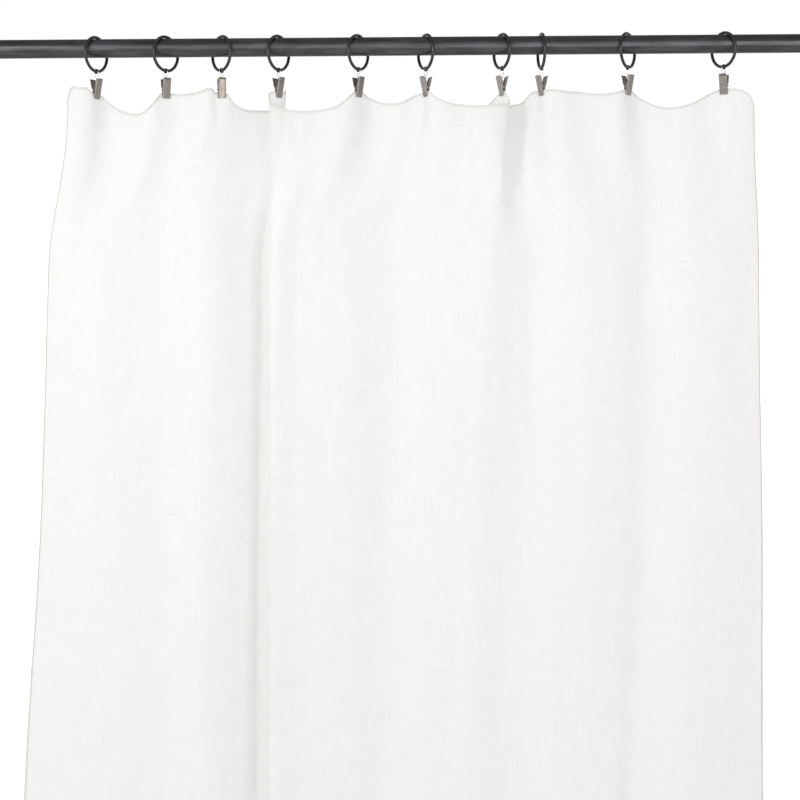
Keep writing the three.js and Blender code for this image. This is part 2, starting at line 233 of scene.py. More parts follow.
def cradle_shape(centre, width):
    """The bent strip: its middle line in the YZ plane, thickened and rounded, across the rod."""
    middle = rod_radius + cradle_play + cradle_wall / 2
    line = [(-middle, cradle_lip), (-middle, cradle_lip / 2)]
    line += [(middle * math.cos(a), middle * math.sin(a)) for a in np.linspace(math.pi, 2 * math.pi, 33)]
    line += [(middle, cradle_lip / 2), (middle, cradle_lip)]
    line = np.array(line)
    run = np.gradient(line, axis=0)
    run /= np.linalg.norm(run, axis=1)[:, None]
    out = np.stack([run[:, 1], -run[:, 0]], axis=-1)
    half_wall, half_width, corner = cradle_wall / 2, width / 2, 0.6 * mm
    section = [(half_wall, half_width - corner), (half_wall - corner, half_width), (corner - half_wall, half_width),
               (-half_wall, half_width - corner), (-half_wall, corner - half_width),
               (corner - half_wall, -half_width), (half_wall - corner, -half_width),
               (half_wall, corner - half_width)]
    points = [[(centre.x + x, centre.y + y + o[0] * thick, centre.z + z + o[1] * thick)
               for thick, x in section] for (y, z), o in zip(line, out)]
    points = np.array(points).reshape(-1, 3)
    faces = grid_faces(len(line), len(section), columns_close=True).tolist()
    faces += [list(range(len(section)))[::-1], [len(points) - len(section) + i for i in range(len(section))]]
    return points, faces


def add_bevel(piece, width, angle=40):
    bevel = piece.modifiers.new("soft_edges", "BEVEL")
    bevel.width, bevel.segments, bevel.limit_method = width, 2, "ANGLE"
    bevel.angle_limit = math.radians(angle)
    bevel.harden_normals = True


bracket_middles = {}
for side in ("left", "right"):
    plate_low, plate_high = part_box(f"{side}_wall_plate")
    arm_low, arm_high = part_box(f"{side}_bracket_arm")
    middle = Vector(((arm_low.x + arm_high.x) / 2, rod_centre.y, rod_centre.z))
    bracket_middles[side] = middle
    plate_radius, plate_depth = (plate_high.z - plate_low.z) / 2, plate_high.y - plate_low.y
    quarter = np.linspace(0, math.pi / 2, 6)
    rim = [(plate_radius - plate_edge * (1 - math.sin(a)), -plate_edge * math.cos(a) - plate_depth + plate_edge)
           for a in quarter]
    plate = along_y(turned([(0, -plate_depth), *rim, (plate_radius, 0), (0, 0)], sides=96))
    plate[0][:] += np.array([middle.x, plate_high.y, middle.z])
    wall_plate = add_piece(f"{side}_round_plate", *plate, steel)
    add_bevel(wall_plate, 0.3 * mm)
    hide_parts(f"{side}_wall_plate")

    arm_start, arm_end = rod_radius + 2 * mm, arm_high.y - rod_centre.y
    weld = [(arm_radius + weld_size * (1 - math.sin(a)), arm_end - weld_size * (1 - math.cos(a)) - 0.1 * mm)
            for a in quarter]
    bar = along_y(turned([(0, arm_start), (arm_radius, arm_start), *weld[::-1],
                          (arm_radius + weld_size, arm_end), (0, arm_end)], sides=40))
    bar[0][:] += np.array(middle)
    arm = add_piece(f"{side}_arm_and_cradle", *joined([cradle_shape(middle, arm_high.x - arm_low.x), bar]), steel)
    add_bevel(arm, 0.25 * mm)
    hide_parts(f"{side}_bracket_arm")
    for piece in (wall_plate, arm):
        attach(piece, "fixed_rod")

# ---- Wall screws ----------------------------------------------------------------------------------------------
# Slotted screws with low domed heads hold each plate to the wall, one above the arm and one below it. They are
# finished like the plate.
wall_screw_offset = 18 * mm
head_radius = 3.8 * mm
head_height = 2.1 * mm
head_sinks = 0.2 * mm
driver_slot_width = 1 * mm
driver_slot_depth = 0.7 * mm
for side, middle in bracket_middles.items():
    plate_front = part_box(f"{side}_wall_plate")[0].y
    for name, height in (("upper", wall_screw_offset), ("lower", -wall_screw_offset)):
        head = [(head_radius * math.cos(a), -head_height * math.sin(a)) for a in np.linspace(math.pi / 2, 0, 9)]
        points, faces = along_y(turned([*head, (head_radius, head_sinks), (0, head_sinks)], sides=32))
        in_slot = (np.abs(points[:, 0]) < driver_slot_width / 2) & (points[:, 1] < -0.4 * mm)
        points[:, 1] += driver_slot_depth * in_slot
        points += np.array([middle.x, plate_front, middle.z + height])
        wall_screw = add_piece(f"{side}_{name}_wall_screw", points, faces, steel)
        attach(wall_screw, "fixed_rod")

# ---- Lock screws ----------------------------------------------------------------------------------------------
# A turned steel thumb screw goes through the front wall of each cradle and bears on the rod. Its knob is knurled
# for the fingers.
knob_length = 6 * mm
shank_radius = 2 * mm
knurl_depth = 0.2 * mm


def knurl(place, angle):
    on_the_knob = (place > 0.3 * mm) & (place < knob_length * 0.95)
    return knurl_depth * np.cos(24 * angle) * on_the_knob


for side, middle in bracket_middles.items():
    screw_low, screw_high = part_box(f"{side}_lock_screw")
    knob = (screw_high.z - screw_low.z) / 2
    length = screw_high.y - screw_low.y
    outline = [(0, 0), (knob - 1.2 * mm, 0), (knob - 0.3 * mm, 0.4 * mm), (knob - 0.2 * mm, 0.9 * mm),
               (knob - 0.2 * mm, knob_length - 0.9 * mm), (knob - 0.9 * mm, knob_length),
               (shank_radius, knob_length), (shank_radius, length - 0.5 * mm), (1.6 * mm, length), (0, length)]
    points, faces = along_y(turned(outline, sides=144, ripple=knurl))
    lock = add_piece(f"{side}_thumb_screw", points + np.array([middle.x, screw_low.y, middle.z]), faces, steel)
    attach(lock, f"{side}_lock_screw")
    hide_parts(f"{side}_lock_screw")

# ---- Rings ----------------------------------------------------------------------------------------------------
# Ten rings of round black-lacquered wire. Each is closed by a small pierced eye at the bottom, which carries the
# bail of the clip. They hang turned one way or the other on the rod.
ring_turns = [30, 38, -37, 34, 34, -25, -25, -8, 31, -34]
ring_wire = 4.2 * mm
ring_inner = 42 * mm
ring_radius = (ring_inner + ring_wire) / 2
eye_radius = 3.4 * mm
eye_hole = 1.4 * mm
eye_half_width = 1.7 * mm


def black_lacquer():
    material, shader, add, links = node_finish("black_lacquer", (0.012, 0.012, 0.013), 0.3, 0.0)
    place = add("ShaderNodeTexCoord").outputs["Object"]
    wear = stretched_noise(add, place, (1, 1, 1), 420.0, 5.0)
    lacquer = color_between(add, wear.outputs["Fac"], 0.35, 0.8, (0.009, 0.009, 0.01), (0.03, 0.029, 0.028))
    links.new(lacquer, shader.inputs["Base Color"])
    rough = add("ShaderNodeMapRange", {"Value": wear.outputs["Fac"], "To Min": 0.2, "To Max": 0.42})
    links.new(rough.outputs["Result"], shader.inputs["Roughness"])
    dents = add("ShaderNodeBump", {"Height": wear.outputs["Fac"], "Strength": 0.1, "Distance": 0.0002})
    links.new(dents.outputs["Normal"], shader.inputs["Normal"])
    return material


def swept(route, radius, sides=12, closed=False):
    """Round wire along a route of points, with its ends capped."""
    route = np.array(route, float)
    ahead = np.roll(route, -1, axis=0) - np.roll(route, 1, axis=0)
    if not closed:
        ahead[0], ahead[-1] = route[1] - route[0], route[-1] - route[-2]
    ahead /= np.linalg.norm(ahead, axis=1)[:, None]
    across = np.zeros_like(route)
    start = np.cross(ahead[0], [0.31, 0.17, 0.94])
    across[0] = start / np.linalg.norm(start)
    for i in range(1, len(route)):
        side = across[i - 1] - ahead[i] * (across[i - 1] @ ahead[i])
        across[i] = side / np.linalg.norm(side)
    other = np.cross(ahead, across)
    if closed:  # the small turn left over at the join is spread over the whole loop
        last = across[-1] - ahead[0] * (across[-1] @ ahead[0])
        left_over = math.atan2(last @ other[0], last @ across[0])
        turn = -left_over * np.arange(len(route)) / len(route)
        across, other = (across * np.cos(turn)[:, None] + other * np.sin(turn)[:, None],
                         other * np.cos(turn)[:, None] - across * np.sin(turn)[:, None])
    angle = np.linspace(0, 2 * math.pi, sides, endpoint=False)
    radius = np.broadcast_to(np.asarray(radius, float), (len(route),))[:, None, None]
    points = route[:, None, :] + radius * (across[:, None, :] * np.cos(angle)[None, :, None]
                                           + other[:, None, :] * np.sin(angle)[None, :, None])
    faces = grid_faces(len(route), sides, rows_close=closed, columns_close=True).tolist()
    if not closed:
        faces += [list(range(sides))[::-1], [(len(route) - 1) * sides + i for i in range(sides)]]
    return points.reshape(-1, 3), faces


def placed(shape, matrix):
    points, faces = shape
    turned_points = points @ np.array(matrix.to_3x3()).T + np.array(matrix.translation)
    return turned_points, faces


lacquer = black_lacquer()
ring_places = []
for number, turn in enumerate(ring_turns, start=1):
    tag = f"{number:02d}"
    low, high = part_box(f"ring_{tag}")
    centre = Vector(((low.x + high.x) / 2, (low.y + high.y) / 2, high.z - ring_radius - ring_wire / 2))
    ring_places.append(centre)
    gap = 2.2 * mm / ring_radius
    round_the_ring = np.linspace(gap, 2 * math.pi - gap, 110)
    wire = swept([(0, ring_radius * math.sin(a), -ring_radius * math.cos(a)) for a in round_the_ring],
                 ring_wire / 2, sides=16)
    soft = 0.5 * mm
    eye_outline = [(eye_hole, -eye_half_width + soft), (eye_hole + soft, -eye_half_width),
                   (eye_radius - soft, -eye_half_width), (eye_radius, -eye_half_width + soft),
                   (eye_radius, eye_half_width - soft), (eye_radius - soft, eye_half_width),
                   (eye_hole + soft, eye_half_width), (eye_hole, eye_half_width - soft),
                   (eye_hole, -eye_half_width + soft)]
    eye_points, eye_faces = turned(eye_outline, sides=32)
    eye = (eye_points + np.array([0, 0, -ring_radius]), eye_faces)
    stand = Matrix.Translation(centre) @ Matrix.Rotation(math.radians(-turn), 4, "Z")
    ring = add_piece(f"wire_ring_{tag}", *placed(joined([wire, eye]), stand), lacquer)
    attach(ring, f"ring_{tag}")
    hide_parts(f"ring_{tag}")

# ---- Bails ----------------------------------------------------------------------------------------------------
# A thin plated wire goes through each ring's eye, comes down as two legs that close together, and loops round
# the clip's hinge pin. It twists on the way down, because ring and clip face different ways.
bail_wire = 1.2 * mm
bail_loop = 1.9 * mm
bail_throat = 0.8 * mm
clip_turns = []


def bright_wire():
    material, shader, add, links = node_finish("bright_wire", (0.62, 0.61, 0.59), 0.22, 1.0)
    place = add("ShaderNodeTexCoord").outputs["Object"]
    drawn = stretched_noise(add, place, (1, 1, 0.2), 900.0, 3.0)
    plate = color_between(add, drawn.outputs["Fac"], 0.3, 0.7, (0.5, 0.49, 0.47), (0.72, 0.71, 0.69))
    links.new(plate, shader.inputs["Base Color"])
    rough = add("ShaderNodeMapRange", {"Value": drawn.outputs["Fac"], "To Min": 0.15, "To Max": 0.35})
    links.new(rough.outputs["Result"], shader.inputs["Roughness"])
    return material


def smooth_loop(corners, steps):
    """A smooth closed line through its corners."""
    corners = np.array(corners, float)
    before, after, later = (np.roll(corners, shift, axis=0) for shift in (1, -1, -2))
    t = np.linspace(0, 1, steps, endpoint=False)[None, :, None]
    a, b, c, d = before[:, None], corners[:, None], after[:, None], later[:, None]
    line = 0.5 * (2 * b + (c - a) * t + (2 * a - 5 * b + 4 * c - d) * t**2 + (3 * b - a - 3 * c + d) * t**3)
    return line.reshape(-1, 3)


wire_finish = bright_wire()
for number, (turn, ring_centre) in enumerate(zip(ring_turns, ring_places), start=1):
    tag = f"{number:02d}"
    hinge = joints[f"jaw_open_{tag}"]
    clip_turn = math.degrees(math.atan2(-hinge["axis"][1], -hinge["axis"][0]))
    clip_turns.append(clip_turn)
    eye_z = ring_centre.z - ring_radius
    reach = eye_z - hinge["pos_m"][2]
    twist = (clip_turn - 90 + turn + 90) % 180 - 90
    shoulder = 2.9 * mm
    legs = [(0.5 * shoulder, 0.5 * mm), (0.95 * shoulder, 1.0 * mm), (shoulder, 2.4 * mm), (shoulder, 4.6 * mm),
            (2 * bail_throat, reach - 17.5 * mm), (bail_throat, reach - 13.5 * mm), (bail_throat, reach - 5.5 * mm),
            (0.9 * bail_loop, reach - 1.8 * mm), (bail_loop, reach),
            (0.71 * bail_loop, reach + 0.71 * bail_loop)]
    down_one = [(across, down) for across, down in legs] + [(0, reach + bail_loop)]
    up_other = [(-across, down) for across, down in legs[::-1]] + [(0, 0.5 * mm)]
    route = []
    for across, down in down_one + up_other:
        share = min(max((down - 4.6 * mm) / (reach - 7.6 * mm), 0), 1)
        angle = math.radians(-turn + twist * share * share * (3 - 2 * share))
        route.append((ring_centre.x + across * math.cos(angle), rod_centre.y + across * math.sin(angle),
                      eye_z - down))
    bail = add_piece(f"wire_bail_{tag}", *swept(smooth_loop(route, 6), bail_wire / 2, sides=12, closed=True),
                     wire_finish)
    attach(bail, f"ring_{tag}")
    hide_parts(f"bail_{tag}")

# ---- Clips ----------------------------------------------------------------------------------------------------
# Two jaws stamped from thin sheet and plated in brushed nickel, their sides folded in. The front jaw's ears
# straddle the back jaw's, a riveted pin runs through all four, and a coiled spring on the pin presses the tips
# together.
jaw_width = 11 * mm
jaw_sheet = 0.8 * mm
above_hinge = 15.5 * mm
below_hinge = 11.6 * mm
jaw_slope = math.tan(math.radians(12.5))
hinge_half_gap = 0.8 * mm + below_hinge * jaw_slope
pin_radius = 0.8 * mm


def brushed_nickel():
    material, shader, add, links = node_finish("brushed_nickel", (0.28, 0.25, 0.225), 0.28, 1.0)
    place = add("ShaderNodeTexCoord").outputs["Object"]
    brushed = stretched_noise(add, place, (1, 1, 0.03), 2600.0, 3.0)
    tarnish = stretched_noise(add, place, (1, 1, 1), 260.0, 5.0)
    plate = color_between(add, brushed.outputs["Fac"], 0.3, 0.7, (0.2, 0.182, 0.165), (0.275, 0.253, 0.232))
    dull = color_between(add, tarnish.outputs["Fac"], 0.35, 0.65, (0.9, 0.89, 0.88), (1.0, 1.0, 1.0))
    mixed = add("ShaderNodeMix", data_type="RGBA", blend_type="MULTIPLY")
    mixed.inputs["Factor"].default_value = 1.0
    links.new(plate, mixed.inputs["A"])
    links.new(dull, mixed.inputs["B"])
    links.new(mixed.outputs["Result"], shader.inputs["Base Color"])
    rough = add("ShaderNodeMapRange", {"Value": tarnish.outputs["Fac"], "To Min": 0.25, "To Max": 0.32})
    links.new(rough.outputs["Result"], shader.inputs["Roughness"])
    lines = add("ShaderNodeBump", {"Height": brushed.outputs["Fac"], "Strength": 0.06, "Distance": 0.0001})
    links.new(lines.outputs["Normal"], shader.inputs["Normal"])
    return material


def jaw_shape(flange, ear_inset):
    """The middle of the sheet, as rows up the jaw: down one flange, across the plate and down the other."""
    ups = np.unique(np.concatenate([np.linspace(-below_hinge, -3 * mm, 10), np.linspace(-3 * mm, 4 * mm, 19),
                                    np.linspace(4 * mm, above_hinge, 12)]))
    fold = 0.7 * mm
    rows = []
    for up in ups:
        gap = hinge_half_gap + up * jaw_slope
        taper = min(max((up + below_hinge) / (above_hinge * 0.9), 0), 1)
        top_round = 0.9 * mm * max(0, (up - above_hinge + 2 * mm) / (2 * mm)) ** 2
        depth = fold + (flange - fold) * taper * (3 - taper) / 2 - top_round
        ear = 2.1 * mm
        if abs(up) < ear:
            depth = max(depth, gap + jaw_sheet / 2 + math.sqrt(ear**2 - up**2))
        elif up < 4 * mm and up > 0:
            depth = max(depth, (gap + jaw_sheet / 2) * (4 * mm - up) / (4 * mm - ear))
        neck = ear_inset * math.exp(-((up / (3.4 * mm)) ** 4))
        half = jaw_width / 2 - jaw_sheet / 2 - neck - 0.25 * top_round
        lip = 0.5 * mm * max(0, (up - above_hinge + 2.5 * mm) / (2.5 * mm)) ** 2
        press = 0.1 * mm * math.exp(-((up / (1.2 * mm)) ** 2))
        level = gap + jaw_sheet / 2
        side = [(half, level - depth + (depth - fold) * share) for share in (0, 0.34, 0.67, 1)]
        side += [(half - fold * (1 - math.cos(a)), level - fold + fold * math.sin(a)) for a in (0.52, 1.05, 1.57)]
        across = [(half - fold) * share for share in (0.66, 0.33, 0)]
        plate = [(x, level + lip - press * math.cos(x / half * math.pi / 2)) for x in across]
        right = side[:-1] + [(side[-1][0], side[-1][1] + lip)] + plate
        section = right + [(-x, y) for x, y in right[:-1][::-1]]
        rows.append([(x, y, up) for x, y in section])
    points = np.array(rows)
    faces = grid_faces(points.shape[0], points.shape[1])
    return points.reshape(-1, 3), faces


def spring_shape():
    """Four turns round the pin beside the bail, with a leg up against each jaw."""
    coil, wire = 1.65 * mm, 0.3 * mm
    leg_angle = math.radians(76)
    turns = np.linspace(leg_angle, math.pi - leg_angle + 8 * math.pi, 120)
    x = 1.0 * mm + 2.5 * mm * (turns - turns[0]) / (turns[-1] - turns[0])
    body = np.stack([x, coil * np.cos(turns), coil * np.sin(turns)], axis=-1)
    leg = 8 * mm
    first = body[0] + np.array([0, 0.19, 0.98]) * leg
    last = body[-1] + np.array([0, -0.19, 0.98]) * leg
    route = np.concatenate([[first], [body[0] * 0.7 + first * 0.3], body, [body[-1] * 0.7 + last * 0.3], [last]])
    return swept(route, wire, sides=8)


nickel = brushed_nickel()
pin_half = jaw_width / 2 + 0.3 * mm
pin_head = [(1.5 * mm * math.cos(a), pin_half + 0.6 * mm * math.sin(a)) for a in np.linspace(0, math.pi / 2, 6)]
pin_outline = [(radius, -place) for radius, place in pin_head[::-1]] + [(pin_radius, -pin_half)]
pin_outline += [(pin_radius, pin_half)] + pin_head
for number, clip_turn in enumerate(clip_turns, start=1):
    tag = f"{number:02d}"
    at_hinge = Matrix.Translation(joints[f"jaw_open_{tag}"]["pos_m"])
    facing = at_hinge @ Matrix.Rotation(math.radians(clip_turn), 4, "Z")
    reversed_facing = facing @ Matrix.Rotation(math.pi, 4, "Z")
    parts = [("front_jaw", jaw_shape(2.6 * mm, 0), reversed_facing, f"front_jaw_{tag}", nickel, "brushed_nickel"),
             ("back_jaw", jaw_shape(1.2 * mm, 1.1 * mm), facing, f"ring_{tag}", nickel, "brushed_nickel"),
             ("hinge_pin", turned(pin_outline, sides=24), facing, f"ring_{tag}", nickel, "brushed_nickel"),
             ("spring", spring_shape(), facing, f"ring_{tag}", wire_finish, "bright_wire")]
    for name, shape, matrix, body, material, slot in parts:
        piece = add_piece(f"clip_{name}_{tag}", *placed(shape, matrix), material)
        if name.endswith("jaw"):
            sheet = piece.modifiers.new("sheet", "SOLIDIFY")
            sheet.thickness, sheet.offset = jaw_sheet, 0
            add_bevel(piece, 0.12 * mm, 50)
        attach(piece, body)
        if name != "spring":
            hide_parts(f"{name}_{tag}")

# ---- Curtain panel --------------------------------------------------------------------------------------------
# One width of sheer slubby linen, 48 by 84 inches, washed and unlined. The clips hold it at ten places along the
# top edge. It hangs in soft folds, doubled back through two of the clips, and keeps faint creases from packing.
panel_length = 2134 * mm
hold_half = 6.0
clip_places = [joints[f"jaw_open_{number:02d}"]["pos_m"][0] / mm for number in range(1, 11)]
held_height = -61.0


def held(number, backwards=False):
    """Where the cloth enters and leaves a clip, in mm from the rod's axis: along X, towards the wall, and up."""
    angle = math.radians(clip_turns[number - 1] + (180 if backwards else 0))
    x, y = hold_half * math.cos(angle), hold_half * math.sin(angle)
    return [(clip_places[number - 1] - x, -y, held_height), (clip_places[number - 1] + x, y, held_height)]


# The top edge from left to right, in mm.
top_edge = [
    (-454, -6, -71), (-450, -9, -58), (-436, -13, -55), (-423, -9, -56),
    *held(1), (-402, 13, -70), (-391, 15, -78), (-367, 6, -88), (-350, -5, -87), (-335, -9, -74),
    *held(2), (-301, 6, -62), (-275, -9, -61), (-257, -8, -56),
    *held(3), (-229, 7, -73), (-216, 15, -81), (-198, 24, -82), (-174, 30, -79), (-161, 26, -70), (-158, 13, -55),
    *held(4, backwards=True), (-179, -10, -64), (-178, -17, -75), (-159, -20, -86), (-135, -14, -89),
    (-110, -10, -87), (-82, -11, -79), (-68, -9, -67),
    *held(5), (-42, 13, -68), (-21, 14, -75), (0, 8, -75), (21, 10, -65),
    *held(6), (50, -13, -72), (68, -13, -79), (92, -9, -82), (115, -14, -83), (137, -19, -82), (149, -15, -79),
    *held(7, backwards=True), (129, 14, -70), (122, 21, -77), (131, 28, -77), (152, 28, -77), (168, 23, -74),
    (181, 14, -61),
    *held(8), (204, -10, -61), (224, -11, -64), (239, -5, -64), (273, -2, -67), (297, -10, -65),
    *held(9), (328, 14, -70), (350, 13, -81), (367, 5, -85), (396, 0, -81), (425, 6, -66),
    *held(10), (459, -5, -62), (469, -6, -65), (479, -4, -74), (483, -2, -84)]

# The folds further down, from left to right, each as (along X, towards the wall) in mm at four heights. Less is
# towards the room, so a ridge is negative and a valley positive.
fold_heights = [-300, -620, -1000, -2195]
folds = np.array([
    [(-483, -4), (-496, 0), (-520, 2), (-535, 4)],
    [(-378, -9), (-384, -8), (-390, -7), (-396, -8)],
    [(-330, 1), (-328, 2), (-328, 3), (-332, 3)],
    [(-266, -15), (-268, -15), (-272, -14), (-278, -14)],
    [(-214, 9), (-214, 9), (-222, 11), (-232, 9)],
    [(-181, 27), (-184, 28), (-188, 30), (-200, 28)],
    [(-183, 8), (-188, 8), (-192, 8), (-204, 8)],
    [(-190, -14), (-198, -14), (-204, -14), (-215, -14)],
    [(-178, -27), (-188, -26), (-193, -26), (-204, -24)],
    [(-141, -20), (-141, -19), (-144, -18), (-150, -16)],
    [(-70, -9), (-72, -9), (-76, -9), (-84, -8)],
    [(-12, 9), (-16, 9), (-28, 8), (-44, 8)],
    [(40, -4), (36, -4), (22, -4), (8, -4)],
    [(84, -8), (72, -7), (54, -6), (40, -5)],
    [(122, -12), (100, -8), (84, -6), (72, -5)],
    [(138, -7), (116, -5), (100, -4), (88, -3)],
    [(156, 1), (138, 0), (124, 0), (112, 0)],
    [(184, 8), (172, 5), (160, 4), (150, 4)],
    [(216, -10), (214, -9), (206, -8), (198, -8)],
    [(262, -14), (258, -12), (252, -10), (246, -10)],
    [(300, -6), (297, -5), (285, -5), (275, -6)],
    [(330, 7), (326, 6), (308, 5), (300, 5)],
    [(392, -9), (390, -9), (384, -10), (380, -10)],
    [(448, -2), (448, -2), (446, 0), (444, 0)],
    [(491, 9), (491, 9), (492, 10), (492, 10)]], float)


def smooth_through(at, values, wanted):
    """A smooth curve through values, at places that may be unevenly spaced."""
    at, values = np.asarray(at, float), np.asarray(values, float)
    step = np.diff(at)
    slope = np.diff(values, axis=0) / step[:, None]
    middle = (slope[:-1] * step[1:, None] + slope[1:] * step[:-1, None]) / (step[1:] + step[:-1])[:, None]
    slopes = np.concatenate([slope[:1], middle, slope[-1:]])
    i = np.clip(np.searchsorted(at, wanted, side="right") - 1, 0, len(step) - 1)
    h = step[i][:, None]
    t = ((wanted - at[i]) / step[i])[:, None]
    return ((1 + 2 * t) * (1 - t) ** 2 * values[i] + t * (1 - t) ** 2 * h * slopes[i]
            + t * t * (3 - 2 * t) * values[i + 1] - t * t * (1 - t) * h * slopes[i + 1])


def eased(value, start, end):
    t = np.clip((value - start) / (end - start), 0, 1)
    return t * t * (3 - 2 * t)


def soft_noise(u, v, size_u, size_v, seed):
    """Smooth random waves from -1 to 1, about size_u by size_v across."""
    table = np.random.default_rng(seed).uniform(-1, 1, (96, 96))
    x, y = u / size_u, v / size_v
    i, j = np.floor(x).astype(int), np.floor(y).astype(int)
    p, q = eased(x - i, 0, 1), eased(y - j, 0, 1)
    pick = lambda a, b: table[a % 96, b % 96]
    low = pick(i, j) * (1 - p) + pick(i + 1, j) * p
    high = pick(i, j + 1) * (1 - p) + pick(i + 1, j + 1) * p
    return low * (1 - q) + high * q


top_edge = np.array(top_edge, float)
flat_places = np.concatenate([[0], np.cumsum(np.hypot(*np.diff(top_edge[:, :2], axis=0).T))])
panel_width = flat_places[-1]
columns = np.linspace(0, panel_width, 340)
edge_line = smooth_through(flat_places, top_edge, columns)
length = panel_length / mm
downs = np.concatenate([np.arange(0, 120, 2.5), np.linspace(120, length, 290)])
u, s = np.meshgrid(columns, downs)

# Heights: the scallops of the top edge fade by about half towards the bottom.
sag = edge_line[:, 2] - held_height
softened = np.convolve(np.pad(sag, 25, mode="edge"), np.hanning(51) / np.hanning(51).sum(), mode="valid")
fade = eased(s, 0, 1400)
z = held_height - s + sag[None, :] * (1 - fade) + (0.45 * softened - 4)[None, :] * fade

# Plan: the line through the clips gives way to the folds below.
fold_lengths = np.hypot(*np.diff(folds, axis=0).transpose(2, 0, 1)).mean(axis=1)
fold_places = np.concatenate([[0], np.cumsum(fold_lengths)]) * panel_width / fold_lengths.sum()
fold_xy = smooth_through(fold_heights[::-1], folds[:, ::-1].transpose(1, 0, 2).reshape(4, -1),
                         np.clip(held_height - downs, fold_heights[-1], -180))
lower = np.stack([smooth_through(fold_places, row.reshape(len(folds), 2), columns) for row in fold_xy])
window = np.hanning(13) / np.hanning(13).sum()
relaxed = np.stack([np.convolve(np.pad(line, 6, mode="reflect", reflect_type="odd"), window, mode="valid")
                    for line in edge_line[:, :2].T], axis=-1)
below_clips, share = eased(-z, 70, 118)[..., None], eased(-z, 84, 290)[..., None]
plan = (edge_line[:, :2] * (1 - below_clips) + relaxed * below_clips) * (1 - share) + lower * share

# Small life in the cloth, from slow drifts of the folds to fine rumples: each has a height, a width, a length and
# a seed, in mm.
free = eased(-z, 75, 200)
ripples = [(4.0, 160, 700, 3), (2.4, 46, 380, 4), (1.1, 30, 160, 8), (0.6, 22, 60, 5), (0.3, 9, 20, 6)]
plan[..., 1] += free * sum(height * soft_noise(u, s, wide, long, seed) for height, wide, long, seed in ripples)
plan[..., 0] += free * 1.6 * soft_noise(u, s, 90, 300, 7)

# Faint creases where the cloth was folded for packing, turned in and out by turns, with short wrinkles at them.
pack_fold = 388
crease_height, crease_width = 3.4, 4.5
wrinkle_height, wrinkle_reach = 2.4, 34
for crease in range(5):
    at_crease = pack_fold * (crease + 1) + 10 * soft_noise(u, 0 * s, 170, 1, 20 + crease)
    strength = np.clip(0.3 + 1.1 * soft_noise(u, 0 * s, 64, 1, 30 + crease), 0, 1)
    plan[..., 1] += (-1) ** crease * crease_height * strength * np.exp(-np.abs(s - at_crease) / crease_width)
    wrinkles = np.clip(1.3 * soft_noise(u, s, 34, 46, 40 + crease), 0, 1)
    plan[..., 1] += wrinkle_height * wrinkles * np.exp(-((s - at_crease) / wrinkle_reach) ** 2)

# Between the jaws the cloth lies flat in the clip's middle plane, and its edge stays below the hinge pin.
for number, (place, clip_turn) in enumerate(zip(clip_places, clip_turns), start=1):
    across = np.array([-math.sin(math.radians(clip_turn)), math.cos(math.radians(clip_turn))])
    offset = plan - np.array([place, 0])
    middle_u = columns[np.argmin(np.hypot(*(edge_line[:, :2] - np.array([place, 0])).T))]
    grip = (1 - eased(np.abs(u - middle_u), 6.5, 15)) * (1 - eased(-z, 72, 105))
    plan -= (grip * (offset @ across))[..., None] * across
    z -= grip * np.maximum(z - held_height + s + 0.4, 0)

cloth = np.concatenate([plan, z[..., None]], axis=-1) * mm + np.array([0, rod_centre.y, rod_centre.z])


